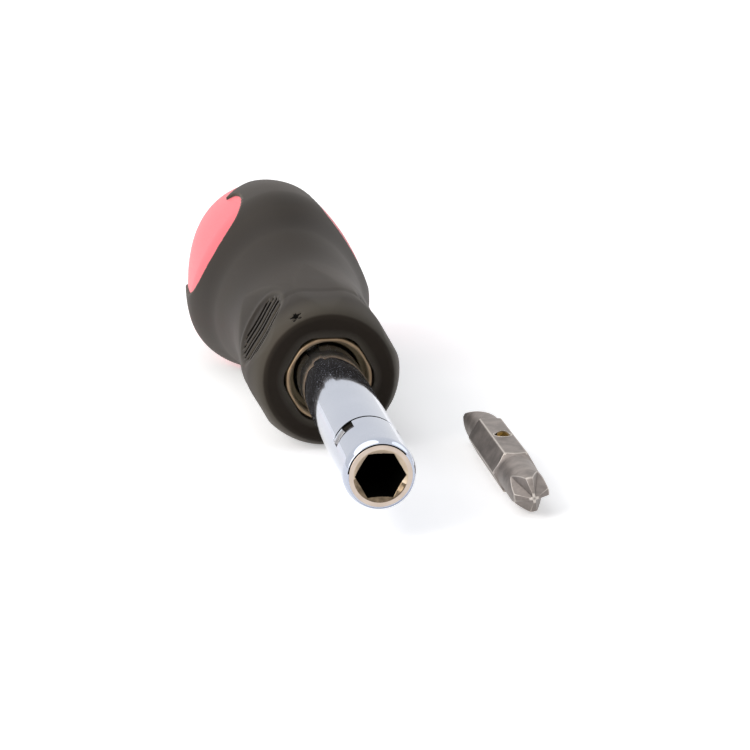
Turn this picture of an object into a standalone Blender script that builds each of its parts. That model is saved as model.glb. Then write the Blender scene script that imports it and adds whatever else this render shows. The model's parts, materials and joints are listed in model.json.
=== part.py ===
"""Multi-bit driver lying on a table, with one of its two double-ended bits beside it.

The driver's parts share one axis. On it, "along" runs from the barrel's tip to the butt,
and an azimuth turns from the right side (0 degrees) over the top (90 degrees).
"""

import math

import bmesh
import bpy
from mathutils import Matrix, Vector

MM = 0.001

# Clearances, overruns and roundness
gap = 0.3 * MM
small_gap = 0.15 * MM
overrun = 2.0 * MM
round_sides = 48
small_sides = 24
hex_sides = 6
weld_distance = 0.0001 * MM
inset_limit = 0.5

# Barrel: a chrome tube with a hexagon socket at both ends, turned end for end in use
barrel_length = 112.0 * MM
barrel_radius = 5.35 * MM
rim_round = 0.75 * MM
rim_round_length = 1.6 * MM
socket_across_flats = 6.5 * MM
socket_depth = 27.0 * MM
socket_lead = 0.4 * MM
middle_bore_radius = 3.3 * MM
detent_groove_radius = 4.15 * MM
detent_groove_width = 3.2 * MM
line_groove_at = 12.0 * MM
line_groove_width = 0.45 * MM
line_groove_depth = 0.4 * MM
spring_slot_at = 9.9 * MM
spring_slot_width = 1.3 * MM
spring_slot_low = 118.0
spring_slot_high = 163.0
slot_notch_high = 136.0
slot_notch_depth = 0.55 * MM
ring_groove_radius = 4.7 * MM
ear_height = 0.6 * MM
ear_width = 2.2 * MM
ear_length = 4.0 * MM
ear_slope = 0.6 * MM
ear_azimuths = (120.0, 300.0)

# Bit retaining rings: split bands of spring steel inside the sockets
retaining_ring_thickness = 0.7 * MM
retaining_ring_split = 50.0
retaining_ring_split_azimuth = 270.0

# Handle: an outline turned about the axis, then flattened in places
handle_at = 51.2 * MM
handle_length = 112.0 * MM
front_face_radius = 10.4 * MM
front_round = 10.5 * MM
bolster_radius = 13.4 * MM
bolster_at = 13.0 * MM
waist_radius = 12.65 * MM
waist_at = 34.0 * MM
middle_drop = 0.9 * MM
bulge_radius = 17.95 * MM
bulge_at = 71.0 * MM
butt_flat_radius = 10.8 * MM
facet_depth = 0.5 * MM
pad_facet_depth = 1.8 * MM
facet_hollow = 0.1 * MM
facet_count = 6
pad_azimuths = (30.0, 150.0)
lobe_height = 1.15 * MM
lobe_count = 3
facet_azimuths = (30.0, 90.0, 150.0, 210.0, 270.0, 330.0)
window_azimuths = (30.0, 150.0, 270.0)
handle_steps = 30

# Grip: soft rubber moulded over the core, open at three windows and the butt
rubber_thickness = 2.2 * MM
front_web = 2.0 * MM
window_recess = 0.5 * MM
window_front_at = 64.0 * MM
tongue_end_at = 97.0 * MM
window_half_angle = 60.0
window_hub_share = 0.94
barbed_edge_shares = (
    (1.00, 0.00), (0.985, 0.10), (0.95, 0.20), (0.87, 0.31), (0.80, 0.41), (0.70, 0.55),
    (0.66, 0.50), (0.60, 0.43),
)
plain_edge_shares = (
    (1.00, 0.00), (0.985, 0.08), (0.95, 0.15), (0.87, 0.23), (0.78, 0.29), (0.68, 0.335), (0.56, 0.37),
)
front_edge_shares = (
    (0.445, 0.39), (0.25, 0.42), (0.135, 0.475), (0.06, 0.565), (0.025, 0.68), (0.005, 0.84), (0.00, 1.00),
)
pad_at = 12.9 * MM
pad_half_length = 8.6 * MM
pad_half_angle = 26.0
pad_groove_count = 7
pad_groove_pitch = 2.0 * MM
pad_groove_width = 0.9 * MM
pad_groove_depth = 0.55 * MM
pad_groove_steps = 6

# Sleeve: a hexagonal steel socket in the handle's nose, turned round at its front lip
sleeve_across_flats = 14.1 * MM
sleeve_length = 25.0 * MM
sleeve_lip_length = 3.0 * MM
sleeve_lip_round = 0.45 * MM
sleeve_proud = 0.2 * MM
sleeve_mouth_depth = 3.2 * MM
sleeve_slot_spare = 0.5 * MM
sleeve_ring_at = 11.0 * MM
sleeve_ring_wire = 0.8 * MM
sleeve_ring_split = 40.0
sleeve_ring_split_azimuth = 90.0
tip_bore_radius = 4.2 * MM
tip_bore_spare = 2.0 * MM

# Bit: quarter inch hexagon steel, cross point at one end and flat blade at the other. Its
# hexagon sits a little inside the barrel's mouth.
bit_across_flats = 6.35 * MM
bit_hex_length = 23.0 * MM
bit_recess = 0.8 * MM
shank_radius = 2.95 * MM
cross_length = 14.8 * MM
cross_cone_length = 6.0 * MM
cross_nose_length = 2.3 * MM
cross_nose_radius = 2.7 * MM
cross_tip_radius = 0.65 * MM
cross_web_radius = 0.3 * MM
cross_flute_length = 6.4 * MM
cross_flute_opening = 110.0
cross_turn = 9.0
blade_length = 9.5 * MM
blade_wedge_length = 4.5 * MM
blade_thickness = 0.95 * MM
blade_radius = 3.15 * MM
blade_turn = -28.0

# Detent: a ball and its spring in a pocket in the middle of the hexagon
ball_radius = 1.45 * MM
ball_proud = 0.72 * MM
pocket_lip = 0.3 * MM
pocket_floor = 0.9 * MM
spring_radius = 1.05 * MM
spring_wire_radius = 0.17 * MM
spring_turns = 3.5
spring_turn_points = 9

# Places on the table, seen from above: the bit's middle from the point under the barrel's tip
bit_right = 25.54 * MM
bit_back = 33.22 * MM
bit_turn = -2.6


def cosine(degrees):
    return math.cos(math.radians(degrees))


def sine(degrees):
    return math.sin(math.radians(degrees))


def around(radius, along, azimuth):
    """Point on the shared axis system."""
    return Vector((radius * cosine(azimuth), along, radius * sine(azimuth)))


def material(name, colour, roughness, metallic):
    made = bpy.data.materials.new(name)
    made.use_nodes = True
    shader = made.node_tree.nodes["Principled BSDF"]
    shader.inputs["Base Color"].default_value = (*colour, 1.0)
    shader.inputs["Roughness"].default_value = roughness
    shader.inputs["Metallic"].default_value = metallic
    made.diffuse_color = (*colour, 1.0)
    return made


def solid(name, rings, looped=False, curved=False):
    """Skin a row of equal rings of points; the ends are capped unless the row is looped."""
    work = bmesh.new()
    rows = [[work.verts.new(point) for point in ring] for ring in rings]
    count = len(rows[0])
    pairs = list(zip(rows, rows[1:]))
    if looped:
        pairs.append((rows[-1], rows[0]))
    else:
        work.faces.new(rows[0])
        work.faces.new(rows[-1])
    for near, far in pairs:
        for index in range(count):
            after = (index + 1) % count
            work.faces.new((near[index], near[after], far[after], far[index]))
    if curved:
        bmesh.ops.triangulate(work, faces=work.faces)
    bmesh.ops.recalc_face_normals(work, faces=work.faces)
    mesh = bpy.data.meshes.new(name)
    work.to_mesh(mesh)
    work.free()
    made = bpy.data.objects.new(name, mesh)
    bpy.context.scene.collection.objects.link(made)
    return made


def turned(name, outline, sides=round_sides, looped=False, turn=0.0):
    """Turn an outline of (along, radius) points about the axis."""
    rings = []
    for along, radius in outline:
        rings.append([around(radius, along, turn + 360.0 * step / sides) for step in range(sides)])
    return solid(name, rings, looped)


def hexagon(name, across_flats, front, back):
    """Hexagonal bar with corners to the left and right and flats above and below."""
    corner = across_flats / 2 / cosine(180.0 / hex_sides)
    return turned(name, ((front, corner), (back, corner)), hex_sides)


def weld(mesh):
    """Join points that lie on each other and drop what collapses."""
    work = bmesh.new()
    work.from_mesh(mesh)
    bmesh.ops.remove_doubles(work, verts=work.verts, dist=weld_distance)
    bmesh.ops.dissolve_degenerate(work, edges=work.edges, dist=weld_distance)
    work.to_mesh(mesh)
    work.free()


def combine(target, tool, operation="DIFFERENCE"):
    """Apply a Boolean to the target and drop the tool."""
    modifier = target.modifiers.new(operation, "BOOLEAN")
    modifier.operation = operation
    modifier.solver = "EXACT"
    modifier.object = tool
    depsgraph = bpy.context.evaluated_depsgraph_get()
    depsgraph.update()
    mesh = bpy.data.meshes.new_from_object(target.evaluated_get(depsgraph))
    target.modifiers.remove(modifier)
    weld(mesh)
    target.data = mesh
    bpy.data.objects.remove(tool)


def finish(piece, parent, finish_material, location=(0.0, 0.0, 0.0)):
    """Shade a piece, give it its material and hang it on its carrier."""
    for polygon in piece.data.polygons:
        polygon.material_index = 0
    piece.data.materials.clear()
    piece.data.materials.append(finish_material)
    piece.data.shade_smooth()
    piece.data.set_sharp_from_angle(angle=math.radians(30.0))
    piece.location = location
    piece.parent = parent
    return piece


def split_band(name, inner, outer, front, back, split_azimuth, split_angle, steps):
    """Flat C-shaped band with square section, open round its split azimuth."""
    start = split_azimuth + split_angle / 2
    sweep = 360.0 - split_angle
    rings = []
    for step in range(steps + 1):
        azimuth = start + sweep * step / steps
        rings.append([
            around(inner, front, azimuth), around(outer, front, azimuth),
            around(outer, back, azimuth), around(inner, back, azimuth),
        ])
    return solid(name, rings)


# The handle's outline and sections

def outline_keys():
    """Turning points of the handle's outline between its rounded front and its bulge."""
    return (
        (front_round, bolster_radius - facet_depth / 4),
        (bolster_at, bolster_radius),
        (waist_at, waist_radius),
        ((waist_at + bulge_at) / 2, (waist_radius + bulge_radius) / 2 - middle_drop),
        (bulge_at, bulge_radius),
    )


def smooth_curve(keys, place):
    """Smooth curve through the keys that never swings past one of them."""
    slopes = [(b[1] - a[1]) / (b[0] - a[0]) for a, b in zip(keys, keys[1:])]
    tangents = [slopes[0]]
    for before, after in zip(slopes, slopes[1:]):
        level = before * after <= 0
        tangents.append(0.0 if level else 2 * before * after / (before + after))
    tangents.append(0.0)
    index = 0
    while index < len(keys) - 2 and place > keys[index + 1][0]:
        index += 1
    (x0, y0), (x1, y1) = keys[index], keys[index + 1]
    width = x1 - x0
    t = (place - x0) / width
    return (
        y0 * (1 + 2 * t) * (1 - t) ** 2 + y1 * t * t * (3 - 2 * t)
        + width * t * (1 - t) * (tangents[index] * (1 - t) - tangents[index + 1] * t)
    )


def outline_radius(place):
    keys = outline_keys()
    if place < front_round:
        rise = keys[0][1] - front_face_radius
        return front_face_radius + rise * math.sqrt(1 - (1 - max(place, 0.0) / front_round) ** 2)
    if place > bulge_at:
        share = min((place - bulge_at) / (handle_length - bulge_at), 1.0)
        return butt_flat_radius + (bulge_radius - butt_flat_radius) * math.sqrt(1 - share ** 2)
    return smooth_curve(keys, place)


def ease(place, start, end):
    share = min(max((place - start) / (end - start), 0.0), 1.0)
    return share * share * (3 - 2 * share)


def facet_strength(place):
    """The nose is six-sided from just behind its front round to the waist."""
    return ease(place, 0.0, front_round) * (1 - ease(place, bolster_at, waist_at))


def bulge_strength(place):
    """The lobes swell from the waist to the bulge and fade out at the butt."""
    return ease(place, waist_at, bulge_at) * (1 - ease(place, bulge_at, handle_length))


def handle_radius(place, azimuth, inset=0.0):
    """Radius of the handle's skin: the outline, with hollow facets at the nose and lobes at the bulge."""
    outline = outline_radius(place)
    radius = outline + lobe_height * bulge_strength(place) * cosine(lobe_count * (azimuth - 90.0))
    if place > waist_at:
        return radius - inset
    for centre in facet_azimuths:
        full_depth = pad_facet_depth if centre in pad_azimuths else facet_depth
        depth = full_depth * facet_strength(place)
        lean = cosine(azimuth - centre)
        if lean > 0:
            radius = min(radius, (outline - depth) / lean)
    hollow = facet_hollow * facet_strength(place) * max(cosine(facet_count * (azimuth - 90.0)), 0.0)
    return radius - hollow - inset


def handle_places(start, end):
    """Stations along the handle, closer together in its rounded ends."""
    steps = [share / handle_steps for share in range(handle_steps + 1)]
    eased = [(share - math.sin(2 * math.pi * share) / (3 * math.pi)) for share in steps]
    inside = [share * handle_length for share in eased]
    middle = [place for place in inside if start + small_gap < place < end - small_gap]
    return [start] + middle + [end]


def handle_ring(place, inset):
    """Points of the handle's section, half a step off the axes so that it rests on an edge."""
    azimuths = [360.0 * (step + 0.5) / round_sides for step in range(round_sides)]
    return [around(handle_radius(place, azimuth, inset), handle_at + place, azimuth) for azimuth in azimuths]


def handle_loft(name, start, end, inset=0.0):
    return solid(name, [handle_ring(place, inset) for place in handle_places(start, end)], curved=True)


def core_radius(place):
    """Radius of the core where rubber covers it."""
    hollow = pad_facet_depth * facet_strength(place) + lobe_height * bulge_strength(place)
    return outline_radius(place) - hollow - rubber_thickness - gap


def core_loft(name, start, end, grow):
    places = handle_places(start, end)
    outline = [(handle_at + place, core_radius(place) + grow) for place in places]
    return turned(name, outline, small_sides)


def window_outline(inset):
    """Edge of a window as (place, azimuth from the window's middle), drawn in by an inset."""
    reach = tongue_end_at - window_front_at
    barbed, plain = [
        [(window_front_at + reach * share, window_half_angle * (wide - 1)) for share, wide in shares]
        for shares in (barbed_edge_shares + front_edge_shares, plain_edge_shares + front_edge_shares)
    ]
    rear = tongue_end_at + overrun
    edge = barbed + [(place, -turn) for place, turn in reversed(plain[:-1])]
    edge += [(rear, window_half_angle * (1 - 2 * step / hex_sides)) for step in range(hex_sides + 1)]
    flat = [Vector((place, math.radians(turn) * bulge_radius)) for place, turn in edge]
    moved = []
    for index, point in enumerate(flat):
        before = (point - flat[index - 1]).normalized()
        after = (flat[(index + 1) % len(flat)] - point).normalized()
        side = Vector((before.y, -before.x))
        inward = (side + Vector((after.y, -after.x))).normalized()
        moved.append(point + inward * inset / max(inward.dot(side), inset_limit))
    return [(point.x, math.degrees(point.y / bulge_radius)) for point in moved]


def window_tool(window_azimuth, inset):
    """Solid over one window and the handle behind it, deeper than the rubber."""
    edge = window_outline(inset)
    hub_place = window_front_at + (tongue_end_at - window_front_at) * window_hub_share
    work = bmesh.new()
    levels = []
    for radius in (waist_radius, bulge_radius + overrun):
        hub = work.verts.new(around(radius, handle_at + hub_place, window_azimuth))
        loops = []
        for step in range(1, hex_sides + 1):
            loop = []
            for place, turn in edge:
                along = hub_place + (place - hub_place) * step / hex_sides
                azimuth = window_azimuth + turn * step / hex_sides
                loop.append(work.verts.new(around(radius, handle_at + along, azimuth)))
            loops.append(loop)
        for index in range(len(edge)):
            after = (index + 1) % len(edge)
            work.faces.new((hub, loops[0][index], loops[0][after]))
            for near, far in zip(loops, loops[1:]):
                work.faces.new((near[index], near[after], far[after], far[index]))
        levels.append(loops[-1])
    low, high = levels
    for index in range(len(edge)):
        after = (index + 1) % len(edge)
        work.faces.new((low[index], low[after], high[after], high[index]))
    bmesh.ops.triangulate(work, faces=work.faces, quad_method="FIXED")
    bmesh.ops.recalc_face_normals(work, faces=work.faces)
    mesh = bpy.data.meshes.new("window_tool")
    work.to_mesh(mesh)
    work.free()
    made = bpy.data.objects.new("window_tool", mesh)
    bpy.context.scene.collection.objects.link(made)
    return made


def pad_groove(pad_azimuth, number):
    """One groove across a thumb pad, shorter towards the pad's ends."""
    offset = (number - (pad_groove_count - 1) / 2) * pad_groove_pitch
    half_angle = pad_half_angle * math.sqrt(1 - (offset / pad_half_length) ** 2)
    front = pad_at + offset - pad_groove_width / 2
    back = front + pad_groove_width
    rings = []
    for step in range(pad_groove_steps + 1):
        azimuth = pad_azimuth + half_angle * (2 * step / pad_groove_steps - 1)
        skin = handle_radius(pad_at + offset, azimuth)
        floor, top = skin - pad_groove_depth, skin + overrun
        rings.append([
            around(floor, handle_at + front, azimuth), around(top, handle_at + front, azimuth),
            around(top, handle_at + back, azimuth), around(floor, handle_at + back, azimuth),
        ])
    return solid("pad_groove", rings)


def make_grip(carrier):
    grip = handle_loft("grip", 0.0, tongue_end_at)
    combine(grip, core_loft("core_room", front_web, tongue_end_at + overrun, gap))
    for azimuth in window_azimuths:
        combine(grip, window_tool(azimuth, 0.0))
    nose_hole = sleeve_across_flats + 2 * gap
    combine(grip, hexagon("nose_hole", nose_hole, handle_at - overrun, handle_at + front_web + overrun))
    for azimuth in pad_azimuths:
        for number in range(pad_groove_count):
            combine(grip, pad_groove(azimuth, number))
    return finish(grip, carrier, material("soft_rubber", (0.045, 0.042, 0.040), 0.62, 0.0))


def make_core(carrier):
    core = handle_loft("handle_core", front_web + gap, handle_length, window_recess)
    rubber_room = handle_loft("rubber_room", -overrun, tongue_end_at + gap, -overrun)
    combine(rubber_room, core_loft("core_stock", -2 * overrun, tongue_end_at + 2 * overrun, 0.0))
    for azimuth in window_azimuths:
        combine(rubber_room, window_tool(azimuth, gap))
    combine(core, rubber_room)
    pocket_end = handle_at - sleeve_proud + sleeve_length + gap
    pocket = hexagon("sleeve_pocket", sleeve_across_flats + 2 * gap, handle_at - overrun, pocket_end)
    combine(core, pocket)
    bore_end = barrel_length + gap
    bore_radius = barrel_radius + gap
    tip_end = barrel_length + cross_length + tip_bore_spare
    bore = ((handle_at, bore_radius), (bore_end, bore_radius), (bore_end, tip_bore_radius), (tip_end, tip_bore_radius))
    combine(core, turned("barrel_bore", bore))
    return finish(core, carrier, material("red_core", (0.75, 0.04, 0.06), 0.35, 0.0))


def make_sleeve(carrier):
    front = handle_at - sleeve_proud
    back = front + sleeve_length
    half_flats = sleeve_across_flats / 2
    corner = half_flats / cosine(180.0 / hex_sides)
    sleeve = hexagon("nose_sleeve", sleeve_across_flats, front, back)
    lip_end = front + sleeve_lip_length
    envelope = (
        (front, half_flats - sleeve_lip_round), (front + sleeve_lip_round, half_flats),
        (lip_end, half_flats), (lip_end + corner - half_flats, corner + gap), (back + overrun, corner + gap),
    )
    combine(sleeve, turned("lip_envelope", envelope), "INTERSECT")
    close_bore = barrel_radius + gap
    mouth_radius = close_bore + ear_height
    mouth_end = front + sleeve_mouth_depth
    bore = (
        (front - overrun, mouth_radius), (mouth_end, mouth_radius), (mouth_end, close_bore), (back + overrun, close_bore),
    )
    combine(sleeve, turned("sleeve_bore", bore))
    ear_back = barrel_length / 2 + ear_length / 2 + sleeve_slot_spare
    for azimuth in ear_azimuths:
        combine(sleeve, ear_block("ear_slot", azimuth, front - overrun, ear_back, gap, 0.0))
    ring_middle = front + sleeve_ring_at
    ring_reach = sleeve_ring_wire / 2 + small_gap
    groove_radius = barrel_radius + small_gap + sleeve_ring_wire + small_gap
    groove = ((ring_middle - ring_reach, groove_radius), (ring_middle + ring_reach, groove_radius))
    combine(sleeve, turned("sleeve_ring_groove", groove))
    return finish(sleeve, carrier, material("yellow_zinc", (0.42, 0.31, 0.19), 0.38, 0.9))


def make_sleeve_ring(carrier):
    """Split wire ring that grips the barrel inside the sleeve."""
    middle = handle_at - sleeve_proud + sleeve_ring_at
    inner = barrel_radius + small_gap
    ring = split_band(
        "barrel_snap_ring", inner, inner + sleeve_ring_wire, middle - sleeve_ring_wire / 2,
        middle + sleeve_ring_wire / 2, sleeve_ring_split_azimuth, sleeve_ring_split, round_sides)
    return finish(ring, carrier, material("spring_wire", (0.30, 0.30, 0.31), 0.35, 1.0))


def ear_block(name, azimuth, front, back, grow, slope):
    """Block on the barrel's side at one azimuth: an ear, or the slot that takes it."""
    low = barrel_radius - ear_height
    high = barrel_radius + ear_height + grow
    half = ear_width / 2 + grow
    outward = around(1.0, 0.0, azimuth)
    across = around(1.0, 0.0, azimuth + 90.0)
    forward = Vector((0.0, 1.0, 0.0))
    rings = []
    for radius, trim in ((low, 0.0), (high, slope)):
        rings.append([
            outward * radius + across * side * (half - trim) + forward * along
            for side, along in ((-1, front + trim), (1, front + trim), (1, back - trim), (-1, back - trim))
        ])
    return solid(name, rings)


def slot_tool(low, high, front, back, floor):
    """Cut through the barrel's wall between two azimuths, down to a floor radius."""
    steps = hex_sides
    rings = []
    for step in range(steps + 1):
        azimuth = low + (high - low) * step / steps
        top = barrel_radius + overrun
        rings.append([
            around(floor, front, azimuth), around(top, front, azimuth),
            around(top, back, azimuth), around(floor, back, azimuth),
        ])
    return solid("spring_slot", rings)


def barrel_end_tools():
    """Cutters for the barrel's front end: socket, lead, grooves and spring slots."""
    corner = socket_across_flats / 2 / cosine(180.0 / hex_sides)
    tools = [hexagon("socket", socket_across_flats, -overrun, socket_depth)]
    lead = ((-overrun, corner + overrun), (socket_lead, corner - socket_lead))
    tools.append(turned("lead", lead))
    detent_middle = bit_recess + bit_hex_length / 2
    half = detent_groove_width / 2
    tools.append(turned("detent_groove", (
        (detent_middle - half, detent_groove_radius), (detent_middle + half, detent_groove_radius))))
    half = spring_slot_width / 2
    tools.append(turned("ring_groove", (
        (spring_slot_at - half, ring_groove_radius), (spring_slot_at + half, ring_groove_radius))))
    floor, top = barrel_radius - line_groove_depth, barrel_radius + overrun
    front = line_groove_at - line_groove_width / 2
    back = line_groove_at + line_groove_width / 2
    tools.append(turned("line_groove", ((front, floor), (front, top), (back, top), (back, floor)), looped=True))
    slot_front, slot_back = spring_slot_at - half, spring_slot_at + half
    inside = ring_groove_radius - small_gap
    mirrored_low, mirrored_high = 180.0 - spring_slot_high, 180.0 - spring_slot_low
    tools.append(slot_tool(spring_slot_low, spring_slot_high, slot_front, slot_back, inside))
    tools.append(slot_tool(mirrored_low, mirrored_high, slot_front, slot_back, inside))
    notch_floor = barrel_radius - slot_notch_depth
    tools.append(slot_tool(spring_slot_low, slot_notch_high, spring_slot_at, line_groove_at, notch_floor))
    return tools


def turn_end_for_end(tool):
    """Turn a cutter for the front end so that it cuts the back end."""
    tool.data.transform(Matrix.Translation((0.0, barrel_length, 0.0)) @ Matrix.Rotation(math.pi, 4, "Z"))


def make_barrel(carrier):
    rim_face = barrel_radius - rim_round
    lean_along = rim_round_length * (1 - cosine(45.0))
    lean_across = rim_round * (1 - cosine(45.0))
    front = (
        (0.0, rim_face), (lean_along, barrel_radius - lean_across), (rim_round_length, barrel_radius),
    )
    outline = front + tuple((barrel_length - along, radius) for along, radius in reversed(front))
    barrel = turned("barrel", outline)
    for azimuth in ear_azimuths:
        front = (barrel_length - ear_length) / 2
        combine(barrel, ear_block("ear", azimuth, front, front + ear_length, 0.0, ear_slope), "UNION")
    through = ((-overrun, middle_bore_radius), (barrel_length + overrun, middle_bore_radius))
    combine(barrel, turned("through_bore", through, small_sides))
    for tool in barrel_end_tools():
        combine(barrel, tool)
    for tool in barrel_end_tools():
        turn_end_for_end(tool)
        combine(barrel, tool)
    return finish(barrel, carrier, material("chrome", (0.78, 0.78, 0.82), 0.08, 1.0))


def make_retaining_ring(name, carrier, at_back):
    """Split band that springs against the bit, seen through the slots."""
    outer = ring_groove_radius - small_gap
    half = spring_slot_width / 2 - small_gap
    ring = split_band(
        name, outer - retaining_ring_thickness, outer, spring_slot_at - half, spring_slot_at + half,
        retaining_ring_split_azimuth, retaining_ring_split, small_sides)
    if at_back:
        turn_end_for_end(ring)
    return finish(ring, carrier, material(name + "_steel", (0.16, 0.16, 0.17), 0.4, 1.0))


# The bit, drawn round its own middle with the cross point to the front

def cross_flute(azimuth):
    """V-shaped cutter between two wings of the cross point, running out on the shank."""
    tip = -bit_hex_length / 2 - cross_length
    start = tip + cross_flute_length
    shallow = shank_radius + small_gap
    arm = 2 * shank_radius
    rise = (shallow - cross_web_radius) / cross_flute_length
    lean = cross_flute_opening / 2
    rings = []
    for along, apex in ((tip - overrun, cross_web_radius - rise * overrun), (start, shallow)):
        base = around(apex, along, azimuth)
        rings.append([base, base + around(arm, 0.0, azimuth - lean), base + around(arm, 0.0, azimuth + lean)])
    return solid("cross_flute", rings)


def blade_flat(side):
    """Wedge-shaped cutter above or below the flat blade."""
    end = bit_hex_length / 2 + blade_length
    start = end - blade_wedge_length
    reach = shank_radius + overrun
    low = blade_thickness / 2
    fall = (shank_radius - low) / blade_wedge_length
    corners = ((start, shank_radius), (start, reach), (end + overrun, reach), (end + overrun, low - fall * overrun))
    rings = []
    for across in (-reach, reach):
        edge = around(across, 0.0, blade_turn)
        rings.append([edge + around(side * height, along, blade_turn + 90.0) for along, height in corners])
    return solid("blade_flat", rings)


def bit_outline():
    half = bit_hex_length / 2
    corner = bit_across_flats / 2 / cosine(180.0 / hex_sides) + small_gap
    tip = -half - cross_length
    cone = tip + cross_cone_length
    step = corner - shank_radius
    end = half + blade_length
    return (
        (tip, cross_tip_radius), (tip + cross_nose_length, cross_nose_radius), (cone, shank_radius),
        (-half, shank_radius), (-half + step / 2, corner),
        (half - step / 2, corner), (half, shank_radius),
        (end - blade_wedge_length, shank_radius), (end, blade_radius),
    )


def pocket_tool():
    """Stepped hole for the ball, narrower at its staked lip."""
    skin = bit_across_flats / 2
    mouth = math.sqrt(ball_radius ** 2 - (ball_radius - ball_proud) ** 2) + small_gap
    well = ball_radius + small_gap
    outline = (
        (pocket_floor - skin, well), (skin - pocket_lip, well), (skin - pocket_lip, mouth), (skin + overrun, mouth),
    )
    tool = turned("ball_pocket", outline, small_sides)
    tool.data.transform(Matrix.Rotation(math.pi / 2, 4, "X"))
    return tool


def bit_mesh():
    body = turned("bit_body", bit_outline(), round_sides)
    end = bit_hex_length + cross_length + blade_length
    combine(body, hexagon("bit_bar", bit_across_flats, -end, end), "INTERSECT")
    for quarter in range(4):
        combine(body, cross_flute(cross_turn + 45.0 + 90.0 * quarter))
    for side in (-1, 1):
        combine(body, blade_flat(side))
    combine(body, pocket_tool())
    mesh = body.data
    bpy.data.objects.remove(body)
    return mesh


def ball_centre():
    return bit_across_flats / 2 + ball_proud - ball_radius


def ball_mesh():
    work = bmesh.new()
    bmesh.ops.create_uvsphere(work, u_segments=16, v_segments=10, radius=ball_radius)
    mesh = bpy.data.meshes.new("detent_ball")
    work.to_mesh(mesh)
    work.free()
    return mesh


def spring_mesh():
    """Coil spring standing on the pocket's floor under the ball."""
    foot = pocket_floor - bit_across_flats / 2 + small_gap + spring_wire_radius
    head = ball_centre() - ball_radius - small_gap - spring_wire_radius
    count = int(spring_turns * spring_turn_points)
    curve = bpy.data.curves.new("detent_spring", "CURVE")
    curve.dimensions = "3D"
    curve.bevel_depth = spring_wire_radius
    curve.bevel_resolution = 1
    curve.use_fill_caps = True
    spline = curve.splines.new("POLY")
    spline.points.add(count)
    for index, point in enumerate(spline.points):
        angle = 2 * math.pi * index / spring_turn_points
        rise = foot + (head - foot) * index / count
        point.co = (spring_radius * math.cos(angle), spring_radius * math.sin(angle), rise, 1.0)
    guide = bpy.data.objects.new("spring_guide", curve)
    bpy.context.scene.collection.objects.link(guide)
    depsgraph = bpy.context.evaluated_depsgraph_get()
    depsgraph.update()
    mesh = bpy.data.meshes.new_from_object(guide.evaluated_get(depsgraph))
    bpy.data.objects.remove(guide)
    weld(mesh)
    return mesh


def make_bit(name, meshes, carrier):
    """One bit with its ball and spring, from shared meshes."""
    steel = material(name + "_steel", (0.45, 0.43, 0.42), 0.35, 1.0)
    bright = material(name + "_ball_steel", (0.72, 0.70, 0.66), 0.12, 1.0)
    places = (("", steel, 0.0), ("_ball", bright, ball_centre()), ("_spring", steel, 0.0))
    for (suffix, surface, height), mesh in zip(places, meshes):
        piece = bpy.data.objects.new(name + suffix, mesh.copy())
        bpy.context.scene.collection.objects.link(piece)
        finish(piece, carrier, surface, (0.0, 0.0, height))


def carrier_at(name, location, turn, parent=None):
    empty = bpy.data.objects.new(name, None)
    empty.location = location
    empty.rotation_euler = turn
    empty.parent = parent
    bpy.context.scene.collection.objects.link(empty)
    return empty


def rest_pose():
    """Tilt and height of the axis when nose and bulge both touch the table."""
    places = handle_places(0.0, handle_length)
    points = []
    for place in places:
        recess = window_recess if place > window_front_at else 0.0
        points.append((handle_at + place, min(point.z for point in handle_ring(place, recess))))
    hull = []
    for point in points:
        while len(hull) > 1:
            (x0, y0), (x1, y1) = hull[-2], hull[-1]
            if (x1 - x0) * (point[1] - y0) > (y1 - y0) * (point[0] - x0):
                break
            hull.pop()
        hull.append(point)
    edges = list(zip(hull, hull[1:]))
    (x0, y0), (x1, y1) = max(edges, key=lambda edge: edge[1][0] - edge[0][0])
    tilt = math.atan2(y0 - y1, x1 - x0)
    height = x0 * math.sin(-tilt) - y0 * math.cos(tilt)
    return tilt, height


def centre_on_table(assembly):
    """Move the assembly so that its box stands centred on the origin."""
    bpy.context.view_layer.update()
    corners = []
    for piece in bpy.data.objects:
        if piece.type == "MESH":
            corners += [piece.matrix_world @ vertex.co for vertex in piece.data.vertices]
    low = Vector([min(corner[axis] for corner in corners) for axis in range(3)])
    high = Vector([max(corner[axis] for corner in corners) for axis in range(3)])
    assembly.location = (-(low.x + high.x) / 2, -(low.y + high.y) / 2, -low.z)


def build():
    for old in list(bpy.data.objects):
        bpy.data.objects.remove(old)
    tilt, height = rest_pose()
    assembly = carrier_at("assembly", (0.0, 0.0, 0.0), (0.0, 0.0, 0.0))
    axis = carrier_at("driver_axis", (0.0, 0.0, height), (tilt, 0.0, 0.0), assembly)
    make_grip(axis)
    make_core(axis)
    make_sleeve(axis)
    make_sleeve_ring(axis)
    make_barrel(axis)
    make_retaining_ring("bit_ring_front", axis, False)
    make_retaining_ring("bit_ring_back", axis, True)
    meshes = (bit_mesh(), ball_mesh(), spring_mesh())
    stored_middle = barrel_length - bit_recess - bit_hex_length / 2
    stored = carrier_at("stored_bit_axis", (0.0, stored_middle, 0.0), (0.0, 0.0, math.pi), axis)
    make_bit("stored_bit", meshes, stored)
    loose_place = (bit_right, bit_back, bit_across_flats / 2)
    loose = carrier_at("loose_bit_axis", loose_place, (0.0, 0.0, math.radians(bit_turn)), assembly)
    make_bit("loose_bit", meshes, loose)
    centre_on_table(assembly)


build()
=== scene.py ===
"""Multi-bit driver and a loose double-ended bit on a pale table: the finished surfaces."""

import json
import math

import bmesh
import bpy
import numpy as np
from mathutils import Matrix, Vector


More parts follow.
